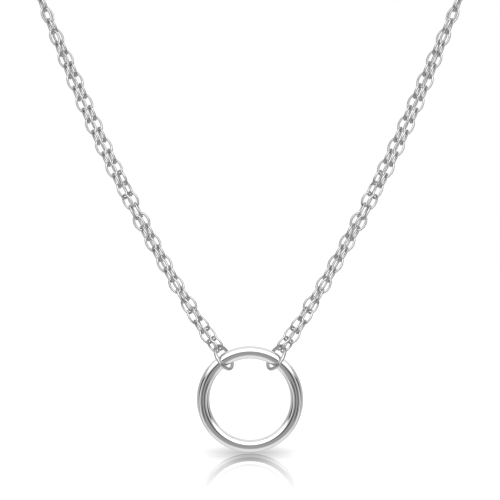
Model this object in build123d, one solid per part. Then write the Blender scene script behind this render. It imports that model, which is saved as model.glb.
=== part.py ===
from build123d import *
import os
from math import atan2, cos, degrees, radians, sin, tan

# Open circle pendant on a double strand of oval cable chain, all of polished silver.
# Millimetres. X runs across the chest, Y points back from the chest to the nape, and
# Z is up. The origin is at the clasp on the nape.

# Pendant: a round ring of round wire
ring_outer_diameter = 16.0
ring_wire = 1.9
ring_plane_to_nape = 110.0
ring_top_to_nape = 116.0

# Jump rings that carry the pendant, one each side of its top
jump_inner_diameter = 3.4
jump_wire = 0.52
jump_lift = 0.38
jump_angle_from_top = 32.2
jump_turn = 26.0
strand_spread_on_jump = 1.5

# Chain: oval links of round wire, each one turned a quarter from the last
link_wire = 0.35
link_outer_width = 1.69
link_pitch = 1.8
link_end_radius = 0.5
running_gap = 0.16
hook_gap = 0.24

# Nape: an end ring each side, and a plain round clasp with an eye
end_ring_inner_diameter = 2.5
end_ring_wire = 0.5
end_ring_tilt = 45.0
strand_spread_on_end_ring = 1.1
end_link_splay = 11.0
clasp_outer_diameter = 5.5
clasp_wire = 0.9
clasp_eye_inner_diameter = 1.35
clasp_eye_wire = 0.45

# Turn of the links about each strand: link number, degrees
strand_twist = {
    "inner": [(0, 37), (1, 58), (5, -24), (11, -24), (17, 66)],
    "outer": [(0, 41), (1, 61), (2, 68), (7, -24), (11, -24), (16, 66)],
}

# Routes of the left strands from the pendant to the clasp, chosen by hand. The first
# points lie along the front links, and the rest along the hidden back stretch.
front_route_points = 6
strand_routes = {
    "inner": [
        (-5.95, -109.25, -114.15),
        (-8.97, -109.10, -109.60),
        (-16.01, -109.06, -97.02),
        (-21.64, -109.06, -85.70),
        (-27.54, -109.06, -72.38),
        (-31.33, -108.90, -63.99),
        (-33.25, -108.32, -59.36),
        (-38.50, -104.35, -47.00),
        (-44.50, -95.10, -34.10),
        (-49.00, -79.80, -22.90),
        (-51.50, -61.80, -14.40),
        (-50.00, -42.90, -8.45),
        (-43.50, -24.90, -4.45),
        (-32.50, -10.60, -1.95),
        (-18.00, -1.80, -1.05),
    ],
    "outer": [
        (-6.66, -110.80, -114.55),
        (-9.57, -110.90, -109.93),
        (-16.71, -110.94, -97.38),
        (-22.45, -110.94, -86.12),
        (-28.17, -110.94, -72.65),
        (-31.48, -110.86, -63.90),
        (-33.45, -110.08, -58.84),
        (-38.50, -106.10, -45.90),
        (-44.50, -96.20, -32.60),
        (-49.00, -80.60, -21.20),
        (-51.50, -62.30, -12.60),
        (-50.00, -43.20, -6.60),
        (-43.50, -25.10, -2.60),
        (-32.50, -11.00, -0.15),
        (-18.00, -2.60, 0.60),
    ],
}

# Worked out from the sizes above
ring_radius = (ring_outer_diameter - ring_wire) / 2
ring_centre = Vector(0, -ring_plane_to_nape, -ring_top_to_nape - ring_outer_diameter / 2)
jump_radius = (jump_inner_diameter + jump_wire) / 2
end_ring_radius = (end_ring_inner_diameter + end_ring_wire) / 2
clasp_radius = (clasp_outer_diameter - clasp_wire) / 2
eye_radius = (clasp_eye_inner_diameter + clasp_eye_wire) / 2
link_half_length = (link_pitch + link_wire + running_gap) / 2
link_half_width = (link_outer_width - link_wire) / 2
toward_front = Vector(0, -1, 0)
toward_back = Vector(0, 1, 0)


def mirrored(plane):
    """The same place on the right-hand side."""
    origin, x_dir, z_dir = plane.origin, plane.x_dir, plane.z_dir
    return Plane(
        origin=(-origin.X, origin.Y, origin.Z),
        x_dir=(-x_dir.X, x_dir.Y, x_dir.Z),
        z_dir=(-z_dir.X, z_dir.Y, z_dir.Z),
    )


def wire_ring(radius, wire, plane):
    """A closed round ring of round wire that lies in the plane."""
    return plane.location * Torus(radius, wire / 2)


def wire_bend(centre, radius, first_angle, sweep_angle):
    """An arc of link wire in XY about a centre, from its first angle."""
    section = Plane.XZ * (Pos(radius, 0, 0) * Circle(link_wire / 2))
    arc = revolve(section, Axis.Z, sweep_angle)
    return Pos(*centre) * (Rot(0, 0, first_angle) * arc)


def oval_link():
    """One link in XY with its length along X: two tight arcs and two flat ones."""
    end_shift = link_half_length - link_end_radius
    side_radius = (link_half_length**2 + link_half_width**2 - 2 * link_half_length * link_end_radius) / (
        2 * (link_half_width - link_end_radius)
    )
    side_shift = side_radius - link_half_width
    end_sweep = 2 * degrees(atan2(side_shift, end_shift))
    side_sweep = 180 - end_sweep
    return (
        wire_bend((end_shift, 0, 0), link_end_radius, -end_sweep / 2, end_sweep)
        + wire_bend((0, -side_shift, 0), side_radius, 90 - side_sweep / 2, side_sweep)
        + wire_bend((-end_shift, 0, 0), link_end_radius, 180 - end_sweep / 2, end_sweep)
        + wire_bend((0, side_shift, 0), side_radius, 270 - side_sweep / 2, side_sweep)
    )


def jump_plane():
    """The left jump ring, with X away from the pendant's middle and Y to the front."""
    angle = radians(jump_angle_from_top)
    outward = Vector(-sin(angle), 0, cos(angle))
    along_wire = Vector(cos(angle), 0, sin(angle))
    normal = along_wire * cos(radians(jump_turn)) + toward_front * sin(radians(jump_turn))
    return Plane(origin=ring_centre + outward * (ring_radius + jump_lift), x_dir=outward, z_dir=normal)


def end_ring_plane():
    """The left end ring, with X away from the clasp and Y up and to the front."""
    slant = Vector(0, -cos(radians(end_ring_tilt)), sin(radians(end_ring_tilt)))
    outward = Vector(-1, 0, 0)
    return Plane(origin=(end_ring_middle("left"), 0, 0), x_dir=outward, z_dir=outward.cross(slant))


def clasp_reach(side):
    """From the middle of the clasp's round to the far side of an end ring's wire."""
    if side == "left":
        held_wire, held_radius = clasp_radius, clasp_wire
    else:
        held_wire, held_radius = clasp_radius + 2 * eye_radius, clasp_eye_wire
    return held_wire - (held_radius + end_ring_wire) / 2 - running_gap + 2 * end_ring_radius


def clasp_middle():
    """The X of the clasp's round, which puts both end rings as far from the origin."""
    return (clasp_reach("left") - clasp_reach("right")) / 2


def end_ring_middle(side):
    """The X of an end ring's middle."""
    reach = (clasp_reach("left") + clasp_reach("right")) / 2 - end_ring_radius
    return -reach if side == "left" else reach


def hook_on(plane, radius, shift):
    """A point on a ring's wire near its far end, shifted along the wire."""
    lift = (radius**2 - shift**2) ** 0.5
    return plane.origin + plane.x_dir * lift + plane.y_dir * shift


def side_of(strand):
    """The outer strand lies to the front or above, and the inner one behind or below."""
    return 1 if strand == "outer" else -1


def twist_at(strand, number):
    """The turn of a front link about its strand in degrees, before its quarter turn."""
    table = strand_twist[strand]
    for (low, start), (high, end) in zip(table, table[1:]):
        if number <= high:
            return start + (end - start) * (number - low) / (high - low)
    return table[-1][1]


def link_plane(centre, direction, turn):
    """Where a link lies: its length along the strand, its width turned about it."""
    lateral = toward_back.cross(direction).normalized()
    forward = lateral.cross(direction).normalized()
    width = lateral * cos(radians(turn)) + forward * sin(radians(turn))
    return Plane(origin=centre, x_dir=direction, z_dir=direction.cross(width))


def front_path(strand):
    """The smooth line of one left strand's front links, on to where the back starts."""
    hook = hook_on(jump_plane(), jump_radius, side_of(strand) * strand_spread_on_jump / 2)
    points = [Vector(*point) for point in strand_routes[strand]]
    beyond = points[front_route_points + 1]
    tangents = [points[0] - hook, beyond - points[front_route_points - 1]]
    even_pace = (1, 1)
    return Spline(hook, *points[: front_route_points + 1], tangents=tangents, tangent_scalars=even_pace)


def front_distances(path):
    """How far along its strand the middle of each front link lies."""
    first = link_half_length - (jump_wire + link_wire) / 2 - hook_gap
    last = path.length - link_half_length - link_wire / 2 - running_gap
    return [first + number * link_pitch for number in range(int((last - first) / link_pitch) + 1)]


def front_planes(strand):
    """Where the front links of one left strand lie."""
    path = front_path(strand)
    planes = []
    for number, distance in enumerate(front_distances(path)):
        centre = path.position_at(distance, position_mode=PositionMode.LENGTH)
        direction = path.tangent_at(distance, position_mode=PositionMode.LENGTH)
        planes.append(link_plane(centre, direction, twist_at(strand, number) + 90 * (number % 2)))
    return planes


def end_link_plane(strand):
    """The last link of one left strand, which hooks on the end ring and leans off its fellow."""
    ring = end_ring_plane()
    hook = hook_on(ring, end_ring_radius, side_of(strand) * strand_spread_on_end_ring / 2)
    lean = radians(end_link_splay) * side_of(strand)
    direction = ring.x_dir * cos(lean) + ring.y_dir * sin(lean)
    reach = link_half_length - (end_ring_wire + link_wire) / 2 - hook_gap
    return Plane(origin=hook + direction * reach, x_dir=direction, z_dir=direction.cross(ring.z_dir))


def back_points(strand):
    """Corners of one left strand's back stretch, from its last front link to its end link."""
    points = [Vector(*point) for point in strand_routes[strand]]
    path = front_path(strand)
    link_reach = link_half_length + link_wire / 2 + running_gap
    start = path.position_at(front_distances(path)[-1] + link_reach, position_mode=PositionMode.LENGTH)
    end_link = end_link_plane(strand)
    return [start, *points[front_route_points + 1 :], end_link.origin + end_link.x_dir * link_reach]


def bend_radii(points):
    """The largest arc that the runs beside each corner leave room for."""
    radii = []
    for before, corner, after in zip(points, points[1:], points[2:]):
        arriving, leaving = corner - before, after - corner
        turn = radians(arriving.get_angle(leaving))
        radii.append(0.45 * min(arriving.length, leaving.length) / tan(turn / 2))
    return radii


def back_tube(points):
    """The back stretch of a strand as one tube: straight runs joined by arcs."""
    radii = bend_radii(points)
    path = FilletPolyline(*points, radius=radii)
    section = Plane(origin=path @ 0, z_dir=path % 0) * Circle(link_outer_width / 2)
    tube = sweep(section, path=path)
    runs = [(b - a).length for a, b in zip(points, points[1:])]
    print("back stretch", round(path.length, 1), "long, runs", [round(run, 1) for run in runs])
    print("arc radii", [round(radius, 1) for radius in radii])
    print("tube volume", round(tube.volume, 1), "section times length", round(section.area * path.length, 1))
    return tube


def clasp():
    """A round hoop standing flat on the nape, with a round eye on its right."""
    middle = clasp_middle()
    hoop = wire_ring(clasp_radius, clasp_wire, Plane(origin=(middle, 0, 0), z_dir=toward_front))
    eye = wire_ring(eye_radius, clasp_eye_wire,
                    Plane(origin=(middle + clasp_radius + eye_radius, 0, 0), z_dir=toward_front))
    return hoop + eye


def save(name, solids):
    """Write one node: a single solid, or the loose solids of a strand."""
    shape = solids[0] if len(solids) == 1 else Compound(children=solids)
    export_step(shape, f"parts/{name}.step")


os.makedirs("parts", exist_ok=True)
save("pendant_ring", [wire_ring(ring_radius, ring_wire, Plane(origin=ring_centre, z_dir=toward_front))])
save("jump_ring_left", [wire_ring(jump_radius, jump_wire, jump_plane())])
save("jump_ring_right", [wire_ring(jump_radius, jump_wire, mirrored(jump_plane()))])
save("end_ring_left", [wire_ring(end_ring_radius, end_ring_wire, end_ring_plane())])
save("end_ring_right", [wire_ring(end_ring_radius, end_ring_wire, mirrored(end_ring_plane()))])
save("clasp", [clasp()])
link = oval_link()
for strand in strand_routes:
    planes = front_planes(strand)
    save(f"chain_left_{strand}_front", [plane.location * link for plane in planes])
    save(f"chain_right_{strand}_front", [mirrored(plane).location * link for plane in planes])
    corners = back_points(strand)
    end_link = end_link_plane(strand)
    save(f"chain_left_{strand}_back", [back_tube(corners), end_link.location * link])
    corners = [Vector(-corner.X, corner.Y, corner.Z) for corner in corners]
    save(f"chain_right_{strand}_back", [back_tube(corners), mirrored(end_link).location * link])
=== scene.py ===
import math
import random

import bmesh
import bpy
import numpy as np
from mathutils import Matrix, Vector


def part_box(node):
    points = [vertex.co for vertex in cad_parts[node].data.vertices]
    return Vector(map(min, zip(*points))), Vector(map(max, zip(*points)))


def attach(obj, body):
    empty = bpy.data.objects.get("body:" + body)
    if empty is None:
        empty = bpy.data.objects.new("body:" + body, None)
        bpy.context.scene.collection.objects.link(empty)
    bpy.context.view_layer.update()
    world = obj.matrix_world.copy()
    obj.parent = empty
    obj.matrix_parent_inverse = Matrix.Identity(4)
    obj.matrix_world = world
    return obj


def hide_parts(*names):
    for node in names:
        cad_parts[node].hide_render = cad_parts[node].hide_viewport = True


# Open circle pendant on a double strand of oval cable chain: silver, studio and camera.
# Metres. X runs across the chest, Y back to the nape, Z up, with the clasp at the origin.
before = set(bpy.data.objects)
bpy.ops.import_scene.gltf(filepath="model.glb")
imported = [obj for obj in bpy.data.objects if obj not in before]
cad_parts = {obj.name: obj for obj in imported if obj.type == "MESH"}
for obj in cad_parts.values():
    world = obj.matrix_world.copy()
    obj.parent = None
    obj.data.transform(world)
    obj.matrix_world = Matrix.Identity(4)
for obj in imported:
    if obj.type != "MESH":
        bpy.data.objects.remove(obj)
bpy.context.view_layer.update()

mm = 0.001
sides = ("left", "right")
strands = ("inner", "outer")

# Corners of the frame's meshes that lie this near are one
weld_distance = 0.0005 * mm

# Wire of the links, how finely it is drawn, and how the hidden links turn and aim
link_end_radius = 0.5 * mm
link_pitch = 1.8 * mm
link_end_steps = 4
link_side_steps = 3
link_wire_sides = 6
link_roll = math.radians(5)
link_roll_seed = 7
link_aim_reach = 0.2 * link_pitch

# Rings of wire: the seam where their ends meet, and their steps around and across
clasp_eye_wire = 0.45 * mm
seam_depth = 0.10
seam_width = 0.030
circle_steps = (256, 64)
jump_ring_steps = (128, 24)
end_ring_steps = (96, 24)
clasp_hoop_steps = (128, 32)
clasp_eye_steps = (64, 20)

# Hidden stretch of the left strands, from above the front links to the clasp
back_routes = {
    "inner": [
        (-38.50, -104.35, -47.00),
        (-44.50, -95.10, -34.10),
        (-49.00, -79.80, -22.90),
        (-51.50, -61.80, -14.40),
        (-50.00, -42.90, -8.45),
        (-43.50, -24.90, -4.45),
        (-32.50, -10.60, -1.95),
        (-18.00, -1.80, -1.05),
    ],
    "outer": [
        (-38.50, -106.10, -45.90),
        (-44.50, -96.20, -32.60),
        (-49.00, -80.60, -21.20),
        (-51.50, -62.30, -12.60),
        (-50.00, -43.20, -6.60),
        (-43.50, -25.10, -2.60),
        (-32.50, -11.00, -0.15),
        (-18.00, -2.60, 0.60),
    ],
}
back_lead = 6 * mm
route_steps = 24

# Camera and studio
camera_distance = 418 * mm
camera_height_over_floor = 30.44 * mm
camera_lens = 200.0
camera_sensor = 36.0
floor_size = 6.0
floor_gap = 0.1 * mm
floor_gloss_index = 1.5
floor_mirror_roughness = 0.01
floor_mirror = 1.2
floor_mirror_reach = 72 * mm
floor_mirror_stop = 60 * mm
floor_mirror_sides = (9 * mm, 18 * mm)
# Painted shadow on the floor round the circle's foot: its darkest tone, and its half sizes across and along
floor_painted_shadow = 0.53
floor_painted_shadow_across = 9.6 * mm
floor_painted_shadow_along = 28 * mm
floor_light = 0.6
floor_light_spread = math.radians(150)
chain_light = 1.6
chain_light_spread = math.radians(72)
chain_light_tilt = math.radians(80)


def add_object(name, data):
    """A new object at the origin, in the scene."""
    obj = bpy.data.objects.new(name, data)
    bpy.context.scene.collection.objects.link(obj)
    return obj


def unit(vector):
    """The vector at a length of one."""
    return np.asarray(vector, float) / np.linalg.norm(vector)


# Shapes measured on the frame


def solids_of(node):
    """The corners of each loose solid in a CAD node, one array a solid."""
    shell = bmesh.new()
    shell.from_mesh(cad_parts[node].data)
    bmesh.ops.remove_doubles(shell, verts=shell.verts, dist=weld_distance)
    seen = set()
    found = []
    for start in shell.verts:
        if start in seen:
            continue
        seen.add(start)
        reached = [start]
        for corner in reached:
            for edge in corner.link_edges:
                other = edge.other_vert(corner)
                if other not in seen:
                    seen.add(other)
                    reached.append(other)
        found.append(np.array([corner.co for corner in reached]))
    shell.free()
    return found


def flat_frame(corners):
    """Middle, long axis and face axis of a flat solid, and its three sizes, longest first."""
    axes = np.linalg.eigh(np.cov((corners - corners.mean(axis=0)).T))[1]
    face, along = axes[:, 0], axes[:, 2]
    across = np.cross(face, along)
    reach = corners @ np.array([along, across, face]).T
    low, high = reach.min(axis=0), reach.max(axis=0)
    middle = (low + high) / 2 @ np.array([along, across, face])
    return middle, along, face, high - low


# Oval links


def link_line(length, width, wire):
    """The closed line of a link's wire in XY: two tight end arcs joined by two flat ones."""
    half_length, half_width = (length - wire) / 2, (width - wire) / 2
    end_shift = half_length - link_end_radius
    side_radius = (half_length**2 + half_width**2 - 2 * half_length * link_end_radius) / (
        2 * (half_width - link_end_radius)
    )
    side_shift = side_radius - half_width
    half_end = math.atan2(side_shift, end_shift)
    half_side = math.pi / 2 - half_end
    points = []
    for turned in (0, math.pi):
        flip = math.cos(turned)
        for step in range(link_end_steps):
            angle = half_end * (2 * step / link_end_steps - 1)
            points.append((flip * (end_shift + link_end_radius * math.cos(angle)),
                           flip * link_end_radius * math.sin(angle)))
        for step in range(link_side_steps):
            angle = math.pi / 2 + half_side * (2 * step / link_side_steps - 1)
            points.append((flip * side_radius * math.cos(angle),
                           flip * (side_radius * math.sin(angle) - side_shift)))
    curve = bpy.data.curves.new("link_line", "CURVE")
    curve.dimensions = "3D"
    spline = curve.splines.new("POLY")
    spline.points.add(len(points) - 1)
    for point, (x, y) in zip(spline.points, points):
        point.co = (x, y, 0, 1)
    spline.use_cyclic_u = True
    return add_object("link_line", curve)


def strand_tree():
    """Geometry Nodes that set one oval wire link on each point of a strand."""
    tree = bpy.data.node_groups.new("link_strand", "GeometryNodeTree")
    for name, kind in (("Strand", "NodeSocketGeometry"), ("Link Line", "NodeSocketObject"),
                       ("Wire", "NodeSocketFloat"), ("Wire Sides", "NodeSocketInt"),
                       ("Silver", "NodeSocketMaterial")):
        tree.interface.new_socket(name, in_out="INPUT", socket_type=kind)
    tree.interface.new_socket("Links", in_out="OUTPUT", socket_type="NodeSocketGeometry")
    add, join = tree.nodes.new, tree.links.new
    given = add("NodeGroupInput")
    line = add("GeometryNodeObjectInfo")
    half = add("ShaderNodeMath")
    half.operation = "MULTIPLY"
    half.inputs[1].default_value = 0.5
    section = add("GeometryNodeCurvePrimitiveCircle")
    wire = add("GeometryNodeCurveToMesh")
    along, face = add("GeometryNodeInputNamedAttribute"), add("GeometryNodeInputNamedAttribute")
    for node, name in ((along, "along"), (face, "face")):
        node.data_type = "FLOAT_VECTOR"
        node.inputs["Name"].default_value = name
    turn = add("FunctionNodeAxesToRotation")
    turn.primary_axis, turn.secondary_axis = "X", "Z"
    place = add("GeometryNodeInstanceOnPoints")
    real = add("GeometryNodeRealizeInstances")
    smooth = add("GeometryNodeSetShadeSmooth")
    coat = add("GeometryNodeSetMaterial")
    made = add("NodeGroupOutput")
    join(given.outputs["Link Line"], line.inputs["Object"])
    join(given.outputs["Wire"], half.inputs[0])
    join(half.outputs[0], section.inputs["Radius"])
    join(given.outputs["Wire Sides"], section.inputs["Resolution"])
    join(line.outputs["Geometry"], wire.inputs["Curve"])
    join(section.outputs["Curve"], wire.inputs["Profile Curve"])
    join(along.outputs["Attribute"], turn.inputs["Primary Axis"])
    join(face.outputs["Attribute"], turn.inputs["Secondary Axis"])
    join(given.outputs["Strand"], place.inputs["Points"])
    join(wire.outputs["Mesh"], place.inputs["Instance"])
    join(turn.outputs["Rotation"], place.inputs["Rotation"])
    join(place.outputs["Instances"], real.inputs["Geometry"])
    join(real.outputs["Geometry"], smooth.inputs["Geometry"])
    join(smooth.outputs["Geometry"], coat.inputs["Geometry"])
    join(given.outputs["Silver"], coat.inputs["Material"])
    join(coat.outputs["Geometry"], made.inputs["Links"])
    return tree


def strand_of_links(name, tree, line, wire, places, silver):
    """A plain mesh of links, one at each place of middle, long axis and face axis."""
    mesh = bpy.data.meshes.new(name + "_places")
    mesh.from_pydata([place[0] for place in places], [], [])
    for column, key in ((1, "along"), (2, "face")):
        attribute = mesh.attributes.new(key, "FLOAT_VECTOR", "POINT")
        attribute.data.foreach_set("vector", np.ravel([place[column] for place in places]))
    strand = add_object(name + "_places", mesh)
    modifier = strand.modifiers.new("links", "NODES")
    modifier.node_group = tree
    sockets = {item.name: item.identifier for item in tree.interface.items_tree}
    modifier[sockets["Link Line"]] = line
    modifier[sockets["Wire"]] = wire
    modifier[sockets["Wire Sides"]] = link_wire_sides
    modifier[sockets["Silver"]] = silver
    graph = bpy.context.evaluated_depsgraph_get()
    links = add_object(name, bpy.data.meshes.new_from_object(strand.evaluated_get(graph)))
    strand.modifiers.remove(modifier)
    bpy.data.objects.remove(strand)
    return links


def smooth_line(points):
    """Points along the smooth line that a route's points steer."""
    curve = bpy.data.curves.new("route", "CURVE")
    curve.dimensions = "3D"
    curve.resolution_u = route_steps
    spline = curve.splines.new("NURBS")
    spline.points.add(len(points) - 1)
    for point, place in zip(spline.points, points):
        point.co = (*place, 1)
    spline.order_u = 3
    spline.use_endpoint_u = True
    route = add_object("route", curve)
    graph = bpy.context.evaluated_depsgraph_get()
    mesh = bpy.data.meshes.new_from_object(route.evaluated_get(graph))
    line = np.array([corner.co for corner in mesh.vertices])
    bpy.data.meshes.remove(mesh)
    bpy.data.objects.remove(route)
    return line


def turned(vector, axis, angle):
    """A vector turned about an axis."""
    return np.array(Matrix.Rotation(angle, 3, Vector(axis)) @ Vector(vector))


def back_places(first, last, route, rng):
    """Where the links lie between a strand's last front link and its end link."""
    start, end = first[0], last[0]
    leaving = unit(first[1]) * np.sign(np.dot(first[1], np.array(route[0]) - start))
    arriving = unit(last[1]) * np.sign(np.dot(last[1], np.array(route[-1]) - end))
    line = smooth_line([start, start + leaving * back_lead, *route, end + arriving * back_lead, end])
    steps = np.linalg.norm(np.diff(line, axis=0), axis=1)
    distance = np.concatenate([[0], np.cumsum(steps)])
    count = round(distance[-1] / link_pitch)
    face = first[2]
    places = []
    for number in range(1, count + 1):
        at = distance[-1] * number / count
        ahead, behind = (np.array([np.interp(at + shift, distance, line[:, axis]) for axis in range(3)])
                         for shift in (link_aim_reach, -link_aim_reach))
        along = unit(ahead - behind)
        face = unit(face - along * np.dot(face, along))
        middle = np.array([np.interp(at, distance, line[:, axis]) for axis in range(3)])
        places.append([middle, along, face])
    aim = last[2] - along * np.dot(last[2], along)
    short = math.atan2(np.dot(np.cross(face, aim), along), np.dot(face, aim)) - count * math.pi / 2
    short = (short + math.pi / 2) % math.pi - math.pi / 2
    for number, place in enumerate(places, start=1):
        turn = number * math.pi / 2 + short * number / count
        place[2] = turned(place[2], place[1], turn + rng.uniform(-link_roll, link_roll))
    return [*places[:-1], last]


# Rings of round wire


def torus_mesh(name, middle, axis, start, radius, wire, steps, seam=0.0):
    """A ring of wire about an axis, with a fine groove at its start where the ends meet."""
    around, across = steps
    axis, start = unit(axis), unit(start)
    side = np.cross(axis, start)
    corners = []
    for step in range(around):
        turn = 2 * math.pi * step / around
        outward = math.cos(turn) * start + math.sin(turn) * side
        away = min(turn, 2 * math.pi - turn)
        thickness = wire / 2 * (1 - seam * math.exp(-((away / seam_width) ** 2)))
        for part in range(across):
            angle = 2 * math.pi * part / across
            corners.append(middle + outward * (radius + thickness * math.cos(angle))
                           + axis * thickness * math.sin(angle))
    faces = []
    for step in range(around):
        for part in range(across):
            after, beside = (step + 1) % around, (part + 1) % across
            faces.append((step * across + part, after * across + part,
                          after * across + beside, step * across + beside))
    mesh = bpy.data.meshes.new(name)
    mesh.from_pydata(corners, [], faces)
    mesh.polygons.foreach_set("use_smooth", [True] * len(faces))
    return mesh


# Finishes


def shader_tree(material):
    """The emptied nodes of a material, and its output."""
    material.use_nodes = True
    tree = material.node_tree
    tree.nodes.clear()
    output = tree.nodes.new("ShaderNodeOutputMaterial")
    return tree, output


def silver_finish_group():
    """How hand-polished silver changes over its surface: tint, roughness and fine height."""
    tree = bpy.data.node_groups.new("silver_finish", "ShaderNodeTree")
    for name, default in (("Grain Scale", 900.0), ("Scratch Amount", 0.3), ("Tarnish Amount", 0.3),
                          ("Least Roughness", 0.03), ("Most Roughness", 0.1)):
        socket = tree.interface.new_socket(name, in_out="INPUT", socket_type="NodeSocketFloat")
        socket.default_value = default
    for name in ("Bright", "Tarnished"):
        tree.interface.new_socket(name, in_out="INPUT", socket_type="NodeSocketColor")
    tree.interface.new_socket("Tint", in_out="OUTPUT", socket_type="NodeSocketColor")
    tree.interface.new_socket("Roughness", in_out="OUTPUT", socket_type="NodeSocketFloat")
    tree.interface.new_socket("Height", in_out="OUTPUT", socket_type="NodeSocketFloat")
    add, join = tree.nodes.new, tree.links.new
    given, made = add("NodeGroupInput"), add("NodeGroupOutput")
    place = add("ShaderNodeTexCoord")
    cloud = add("ShaderNodeTexNoise")
    cloud.inputs["Scale"].default_value = 260.0
    cloud.inputs["Detail"].default_value = 5.0
    film = add("ShaderNodeMapRange")
    film.inputs["From Min"].default_value = 0.45
    film.inputs["From Max"].default_value = 0.75
    amount = add("ShaderNodeMath")
    amount.operation = "MULTIPLY"
    tint = add("ShaderNodeMix")
    tint.data_type = "RGBA"
    stretch = add("ShaderNodeMapping")
    stretch.inputs["Scale"].default_value = (1.0, 1.0, 0.12)
    stretch.inputs["Rotation"].default_value = (0.5, 0.35, 0.8)
    scratch = add("ShaderNodeTexNoise")
    scratch.inputs["Detail"].default_value = 3.0
    line = add("ShaderNodeMapRange")
    line.inputs["From Min"].default_value = 0.62
    line.inputs["From Max"].default_value = 0.72
    mark = add("ShaderNodeMath")
    mark.operation = "MULTIPLY"
    worn = add("ShaderNodeMath")
    worn.operation = "MAXIMUM"
    rough = add("ShaderNodeMapRange")
    join(place.outputs["Object"], cloud.inputs["Vector"])
    join(place.outputs["Object"], stretch.inputs["Vector"])
    join(cloud.outputs["Fac"], film.inputs["Value"])
    join(film.outputs["Result"], amount.inputs[0])
    join(given.outputs["Tarnish Amount"], amount.inputs[1])
    join(amount.outputs[0], tint.inputs["Factor"])
    join(given.outputs["Bright"], tint.inputs["A"])
    join(given.outputs["Tarnished"], tint.inputs["B"])
    join(tint.outputs["Result"], made.inputs["Tint"])
    join(stretch.outputs["Vector"], scratch.inputs["Vector"])
    join(given.outputs["Grain Scale"], scratch.inputs["Scale"])
    join(scratch.outputs["Fac"], line.inputs["Value"])
    join(line.outputs["Result"], mark.inputs[0])
    join(given.outputs["Scratch Amount"], mark.inputs[1])
    join(mark.outputs[0], worn.inputs[0])
    join(amount.outputs[0], worn.inputs[1])
    join(worn.outputs[0], rough.inputs["Value"])
    join(given.outputs["Least Roughness"], rough.inputs["To Min"])
    join(given.outputs["Most Roughness"], rough.inputs["To Max"])
    join(rough.outputs["Result"], made.inputs["Roughness"])
    join(mark.outputs[0], made.inputs["Height"])
    return tree


def silver(name, group, bright, tarnished, values, bump):
    """A silver with its own share of tarnish, scratches and gloss."""
    material = bpy.data.materials.new(name)
    tree, output = shader_tree(material)
    finish = tree.nodes.new("ShaderNodeGroup")
    finish.node_tree = group
    finish.inputs["Bright"].default_value = (*bright, 1)
    finish.inputs["Tarnished"].default_value = (*tarnished, 1)
    for socket, value in values.items():
        finish.inputs[socket].default_value = value
    relief = tree.nodes.new("ShaderNodeBump")
    relief.invert = True
    relief.inputs["Strength"].default_value = 1.0
    relief.inputs["Distance"].default_value = bump
    metal = tree.nodes.new("ShaderNodeBsdfPrincipled")
    metal.inputs["Metallic"].default_value = 1.0
    tree.links.new(finish.outputs["Tint"], metal.inputs["Base Color"])
    tree.links.new(finish.outputs["Roughness"], metal.inputs["Roughness"])
    tree.links.new(finish.outputs["Height"], relief.inputs["Height"])
    tree.links.new(relief.outputs["Normal"], metal.inputs["Normal"])
    tree.links.new(metal.outputs["BSDF"], output.inputs["Surface"])
    return material


finish_group = silver_finish_group()
ring_silver = silver(
    "ring_silver", finish_group, (0.93, 0.93, 0.935), (0.78, 0.77, 0.75),
    {"Grain Scale": 1500.0, "Scratch Amount": 0.25, "Tarnish Amount": 0.12,
     "Least Roughness": 0.035, "Most Roughness": 0.12}, 0.0004 * mm)
# Chain silver: the same silver as the circle with a far darker base colour, painted shade that gives the
# fine wires and the jump rings their dark outlines beside the front light's highlights
chain_silver = silver(
    "chain_silver", finish_group, (0.52, 0.52, 0.53), (0.38, 0.37, 0.36),
    {"Grain Scale": 2500.0, "Scratch Amount": 0.35, "Tarnish Amount": 0.35,
     "Least Roughness": 0.12, "Most Roughness": 0.25}, 0.0008 * mm)


# The piece by piece build


def put_on(piece, body, slot, silver_finish, *nodes):
    """Lets a piece stand for its CAD nodes and move with their body."""
    if not piece.data.materials:
        piece.data.materials.append(silver_finish)
    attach(piece, body)
    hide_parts(*nodes)


def plain_ring(name, node, body, finish, start, steps, seam=0.0):
    """A round ring in the place of a CAD ring, as wide and as thick as it is."""
    middle, _, axis, sizes = flat_frame(solids_of(node)[0])
    wire = sizes[2]
    radius = (sizes[0] - wire) / 2
    ring = add_object(name, torus_mesh(name, middle, axis, start(middle, axis), radius, wire, steps, seam))
    put_on(ring, body, "polished_silver", finish, node)
    return ring


def toward(point):
    """A start for a ring at the place nearest to a point."""
    def start(middle, axis):
        aim = np.asarray(point, float) - middle
        return aim - axis * np.dot(aim, axis)
    return start


def build_rings():
    """The open circle, the jump rings and the end rings. The jump rings are given back."""
    circle_middle = flat_frame(solids_of("pendant_ring")[0])[0]
    circle = plain_ring("open_circle", "pendant_ring", "pendant", ring_silver,
                        toward(circle_middle + np.array([0, 0, 1])), circle_steps)
    # The circle is left out of diffuse light, so it casts no real shade on the floor; the floor's painted
    # shadow stands in for it
    circle.visible_diffuse = False
    jump_rings = []
    for side in sides:
        jump_ring = plain_ring(f"jump_ring_{side}_wire", f"jump_ring_{side}", "chain", chain_silver,
                               toward(circle_middle), jump_ring_steps, seam_depth)
        jump_rings.append(jump_ring)
        plain_ring(f"end_ring_{side}_wire", f"end_ring_{side}", "chain", ring_silver,
                   toward((0, 0, 1)), end_ring_steps, seam_depth)
    return jump_rings


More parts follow.
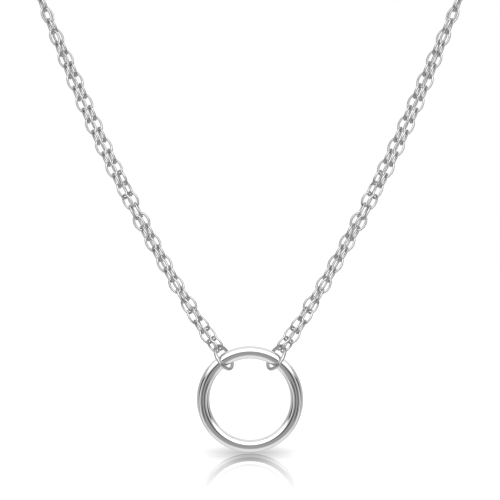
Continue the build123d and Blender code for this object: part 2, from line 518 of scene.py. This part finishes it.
def build_clasp():
    """The round hoop at the nape with its eye, as one soldered piece."""
    low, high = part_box("clasp")
    across = high.z - low.z
    wire = high.y - low.y
    hoop_middle = Vector((low.x + across / 2, (low.y + high.y) / 2, (low.z + high.z) / 2))
    hoop_radius = (across - wire) / 2
    eye_radius = (high.x - hoop_middle.x - hoop_radius - clasp_eye_wire / 2) / 2
    eye_middle = hoop_middle + Vector((hoop_radius + eye_radius, 0, 0))
    facing = (0, -1, 0)
    hoop = add_object("clasp_hoop", torus_mesh("clasp_hoop", np.array(hoop_middle), facing, (-1, 0, 0),
                                               hoop_radius, wire, clasp_hoop_steps))
    eye = add_object("clasp_eye", torus_mesh("clasp_eye", np.array(eye_middle), facing, (1, 0, 0),
                                             eye_radius, clasp_eye_wire, clasp_eye_steps))
    solder = hoop.modifiers.new("solder", "BOOLEAN")
    solder.operation = "UNION"
    solder.solver = "EXACT"
    solder.object = eye
    graph = bpy.context.evaluated_depsgraph_get()
    clasp = add_object("clasp_round", bpy.data.meshes.new_from_object(hoop.evaluated_get(graph)))
    for used in (hoop, eye):
        bpy.data.objects.remove(used)
    put_on(clasp, "chain", "polished_silver", ring_silver, "clasp")


def build_chain():
    """The four strands: the front links where the frame has them, and the hidden back ones."""
    tree = strand_tree()
    rng = random.Random(link_roll_seed)
    line = wire = None
    made = []
    for strand in strands:
        for side in sides:
            front_node, back_node = (f"chain_{side}_{strand}_{part}" for part in ("front", "back"))
            shown = [flat_frame(corners) for corners in solids_of(front_node)]
            end_link = flat_frame(min(solids_of(back_node), key=len))
            if line is None:
                wire = shown[0][3][2]
                line = link_line(*shown[0][3][:2], wire)
            shown.sort(key=lambda place: place[0][2])
            mirror = 1 if side == "left" else -1
            route = [(x * mirror * mm, y * mm, z * mm) for x, y, z in back_routes[strand]]
            hidden = back_places(shown[-1], end_link, route, rng)
            for part, places, node in (("front", shown, front_node), ("back", hidden, back_node)):
                name = f"links_{side}_{strand}_{part}"
                links = strand_of_links(name, tree, line, wire, places, chain_silver)
                put_on(links, "chain", "chain_silver", chain_silver, node)
                made.append(links)
    bpy.data.objects.remove(line)
    return made


fine_pieces = build_rings() + build_chain()
build_clasp()


# Studio


def build_floor():
    """A pale floor with a soft shadow painted round the circle's foot, glossy under the circle, where its
    mirror fades out all round.
    """
    low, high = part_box("pendant_ring")
    half, level = floor_size / 2, low.z - floor_gap
    mesh = bpy.data.meshes.new("floor")
    corners = [(-half, -half, level), (half, -half, level), (half, half, level), (-half, half, level)]
    mesh.from_pydata(corners, [], [(0, 1, 2, 3)])
    floor = add_object("floor", mesh)
    material = bpy.data.materials.new("pale_floor")
    tree, output = shader_tree(material)
    add, join = tree.nodes.new, tree.links.new
    place = add("ShaderNodeTexCoord")
    split = add("ShaderNodeSeparateXYZ")
    beside = add("ShaderNodeMath")
    beside.operation = "ABSOLUTE"
    gloss = add("ShaderNodeFresnel")
    gloss.inputs["IOR"].default_value = floor_gloss_index
    join(place.outputs["Object"], split.inputs["Vector"])
    join(split.outputs["X"], beside.inputs[0])
    share = gloss.outputs["Fac"]
    for reach, near, far, most in (
        (split.outputs["Y"], low.y, low.y - floor_mirror_reach, floor_mirror),
        (split.outputs["Y"], low.y, low.y + floor_mirror_stop, 1.0),
        (beside.outputs[0], *floor_mirror_sides, 1.0),
    ):
        fade, kept = add("ShaderNodeMapRange"), add("ShaderNodeMath")
        fade.inputs["From Min"].default_value = near
        fade.inputs["From Max"].default_value = far
        fade.inputs["To Min"].default_value = most
        fade.inputs["To Max"].default_value = 0.0
        kept.operation = "MULTIPLY"
        join(reach, fade.inputs["Value"])
        join(fade.outputs["Result"], kept.inputs[0])
        join(share, kept.inputs[1])
        share = kept.outputs[0]
    # Painted shadow: a soft dark ellipse round the circle's foot darkens the floor's colour, in its matt
    # and its mirror alike
    spread = add("ShaderNodeMapping")
    spread.vector_type = "TEXTURE"
    spread.inputs["Location"].default_value = (0, (low.y + high.y) / 2, level)
    spread.inputs["Scale"].default_value = (floor_painted_shadow_across, floor_painted_shadow_along, 1)
    off = add("ShaderNodeVectorMath")
    off.operation = "LENGTH"
    painted_shadow_ramp = add("ShaderNodeMapRange")
    painted_shadow_ramp.interpolation_type = "SMOOTHSTEP"
    painted_shadow_ramp.inputs["To Min"].default_value = floor_painted_shadow
    painted_shadow_colour = add("ShaderNodeCombineColor")
    matt, mirror = add("ShaderNodeBsdfDiffuse"), add("ShaderNodeBsdfGlossy")
    mirror.inputs["Roughness"].default_value = floor_mirror_roughness
    mix = add("ShaderNodeMixShader")
    join(share, mix.inputs["Fac"])
    join(place.outputs["Object"], spread.inputs["Vector"])
    join(spread.outputs["Vector"], off.inputs[0])
    join(off.outputs["Value"], painted_shadow_ramp.inputs["Value"])
    for channel in ("Red", "Green", "Blue"):
        join(painted_shadow_ramp.outputs["Result"], painted_shadow_colour.inputs[channel])
    join(painted_shadow_colour.outputs["Color"], matt.inputs["Color"])
    join(painted_shadow_colour.outputs["Color"], mirror.inputs["Color"])
    join(matt.outputs["BSDF"], mix.inputs[1])
    join(mirror.outputs["BSDF"], mix.inputs[2])
    join(mix.outputs["Shader"], output.inputs["Surface"])
    mesh.materials.append(material)
    floor.visible_glossy = False
    return floor


def panel_group():
    """The mask of one soft panel on a wall of the studio, seen from the circle."""
    tree = bpy.data.node_groups.new("studio_panel", "ShaderNodeTree")
    for name in ("Direction", "Facing", "Across", "Along"):
        tree.interface.new_socket(name, in_out="INPUT", socket_type="NodeSocketVector")
    for name in ("Middle Across", "Middle Along", "Half Across", "Half Along", "Soft Across", "Soft Along"):
        tree.interface.new_socket(name, in_out="INPUT", socket_type="NodeSocketFloat")
    tree.interface.new_socket("Mask", in_out="OUTPUT", socket_type="NodeSocketFloat")
    add, join = tree.nodes.new, tree.links.new
    given, made = add("NodeGroupInput"), add("NodeGroupOutput")

    def math_node(operation, *values):
        node = add("ShaderNodeMath")
        node.operation = operation
        for socket, value in zip(node.inputs, values):
            if isinstance(value, (int, float)):
                socket.default_value = value
            else:
                join(value, socket)
        return node.outputs[0]

    def share(name):
        node = add("ShaderNodeVectorMath")
        node.operation = "DOT_PRODUCT"
        join(given.outputs["Direction"], node.inputs[0])
        join(given.outputs[name], node.inputs[1])
        return node.outputs["Value"]

    depth = math_node("MAXIMUM", share("Facing"), 0.0001)
    mask = math_node("GREATER_THAN", share("Facing"), 0.001)
    for way in ("Across", "Along"):
        reach = math_node("DIVIDE", share(way), depth)
        off = math_node("ABSOLUTE", math_node("SUBTRACT", reach, given.outputs["Middle " + way]))
        edge = add("ShaderNodeMapRange")
        edge.interpolation_type = "SMOOTHSTEP"
        join(off, edge.inputs["Value"])
        half, soft = given.outputs["Half " + way], given.outputs["Soft " + way]
        join(math_node("SUBTRACT", half, soft), edge.inputs["From Min"])
        join(math_node("ADD", half, soft), edge.inputs["From Max"])
        edge.inputs["To Min"].default_value = 1.0
        edge.inputs["To Max"].default_value = 0.0
        mask = math_node("MULTIPLY", mask, edge.outputs["Result"])
    join(mask, made.inputs["Mask"])
    return tree


# Walls of the studio, one unit from the circle. The left walls stand for both sides.
up, down, left = (0, 0, 1), (0, 0, -1), (1, 0, 0)
back, front = (0, 1, 0), (0, -1, 0)
slant_down, slant_up = (0, math.sqrt(0.5), -math.sqrt(0.5)), (0, math.sqrt(0.5), math.sqrt(0.5))
lean = math.radians(41)
lean_down, lean_up = (math.cos(lean), 0, -math.sin(lean)), (math.sin(lean), 0, math.cos(lean))

# Panels and black cards, later ones in front, each as its wall, across, along, middle, half size,
# soft edge and brightness
studio_grey = 0.34
panels = [
    (back, left, up, (0.0, 0.0), (6.0, 6.0), (0.3, 0.3), 0.62),
    (back, left, up, (0.0, 0.0), (0.3, 0.3), (0.1, 0.1), 1.1),
    (left, back, up, (2.2, 0.0), (2.0, 6.0), (0.3, 0.3), 0.52),
    (left, slant_down, slant_up, (0.0, 0.5), (0.5, 0.14), (0.2, 0.08), 0.40),
    (down, left, back, (1.0, 1.3), (2.2, 2.2), (0.35, 0.35), 0.54),
    (down, left, back, (0.0, 0.1), (1.3, 0.7), (0.3, 0.25), 0.82),
    (up, left, back, (0.0, 1.0), (1.4, 1.3), (0.25, 0.25), 0.80),
    (left, slant_down, slant_up, (-0.66, -0.05), (0.48, 0.16), (0.25, 0.06), 0.03),
    (up, left, back, (0.0, -1.45), (1.9, 1.2), (0.8, 0.15), 1.5),
    (left, slant_down, slant_up, (-0.45, -0.45), (1.05, 0.1), (0.15, 0.05), 1.0),
    (front, left, up, (0.25, 0.08), (0.18, 0.1), (0.06, 0.05), 0.03),
    (front, lean_down, lean_up, (0.6, 0.235), (0.36, 0.085), (0.12, 0.04), 0.04),
]


def build_world():
    """The studio: a white backdrop, and soft panels on grey walls that the silver mirrors."""
    world = bpy.data.worlds.new("studio")
    bpy.context.scene.world = world
    world.use_nodes = True
    tree = world.node_tree
    tree.nodes.clear()
    add, join = tree.nodes.new, tree.links.new
    place = add("ShaderNodeTexCoord")
    fold = add("ShaderNodeVectorMath")
    fold.operation = "ABSOLUTE"
    split, kept = add("ShaderNodeSeparateXYZ"), add("ShaderNodeSeparateXYZ")
    joined = add("ShaderNodeCombineXYZ")
    join(place.outputs["Generated"], fold.inputs[0])
    join(place.outputs["Generated"], split.inputs[0])
    join(fold.outputs[0], kept.inputs[0])
    join(kept.outputs["X"], joined.inputs["X"])
    join(split.outputs["Y"], joined.inputs["Y"])
    join(split.outputs["Z"], joined.inputs["Z"])
    group = panel_group()
    light = None
    for facing, across, along, middle, half, soft, brightness in panels:
        mask = add("ShaderNodeGroup")
        mask.node_tree = group
        join(joined.outputs[0], mask.inputs["Direction"])
        for name, value in (("Facing", facing), ("Across", across), ("Along", along),
                            ("Middle Across", middle[0]), ("Middle Along", middle[1]),
                            ("Half Across", half[0]), ("Half Along", half[1]),
                            ("Soft Across", soft[0]), ("Soft Along", soft[1])):
            mask.inputs[name].default_value = value
        lit = add("ShaderNodeMix")
        lit.data_type = "FLOAT"
        if light is None:
            lit.inputs["A"].default_value = studio_grey
        else:
            join(light, lit.inputs["A"])
        lit.inputs["B"].default_value = brightness
        join(mask.outputs["Mask"], lit.inputs["Factor"])
        light = lit.outputs["Result"]
    studio, backdrop = add("ShaderNodeBackground"), add("ShaderNodeBackground")
    join(light, studio.inputs["Color"])
    seen = add("ShaderNodeLightPath")
    mix = add("ShaderNodeMixShader")
    output = add("ShaderNodeOutputWorld")
    backdrop.inputs["Color"].default_value = (1, 1, 1, 1)
    join(seen.outputs["Is Camera Ray"], mix.inputs["Fac"])
    join(studio.outputs[0], mix.inputs[1])
    join(backdrop.outputs[0], mix.inputs[2])
    join(mix.outputs[0], output.inputs["Surface"])


def soft_light(name, strength, spread, turn, pieces):
    """A wide soft light that falls on some pieces alone."""
    light = bpy.data.lights.new(name, "SUN")
    light.energy = strength
    light.angle = spread
    light.use_shadow = False
    obj = add_object(name, light)
    obj.rotation_euler = turn
    lit = bpy.data.collections.new(name + "_lights")
    for piece in pieces:
        lit.objects.link(piece)
    obj.light_linking.receiver_collection = lit


def build_lights(floor, fine_pieces):
    """One soft light from above for the floor, and one from the front for chain and jump rings."""
    soft_light("floor_light", floor_light, floor_light_spread, (0, 0, 0), [floor])
    soft_light("chain_light", chain_light, chain_light_spread, (chain_light_tilt, 0, 0), fine_pieces)


def build_camera():
    """Level camera in front of the circle, a long way off with a long lens."""
    low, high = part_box("pendant_ring")
    camera = bpy.data.cameras.new("camera")
    camera.lens = camera_lens
    camera.sensor_width = camera_sensor
    camera.clip_start = 0.01
    camera.clip_end = 50.0
    obj = add_object("camera", camera)
    obj.location = (0, (low.y + high.y) / 2 - camera_distance, low.z + camera_height_over_floor)
    obj.rotation_euler = (math.pi / 2, 0, 0)
    bpy.context.scene.camera = obj


build_lights(build_floor(), fine_pieces)
build_world()
build_camera()
bpy.context.scene.view_settings.view_transform = "Standard"
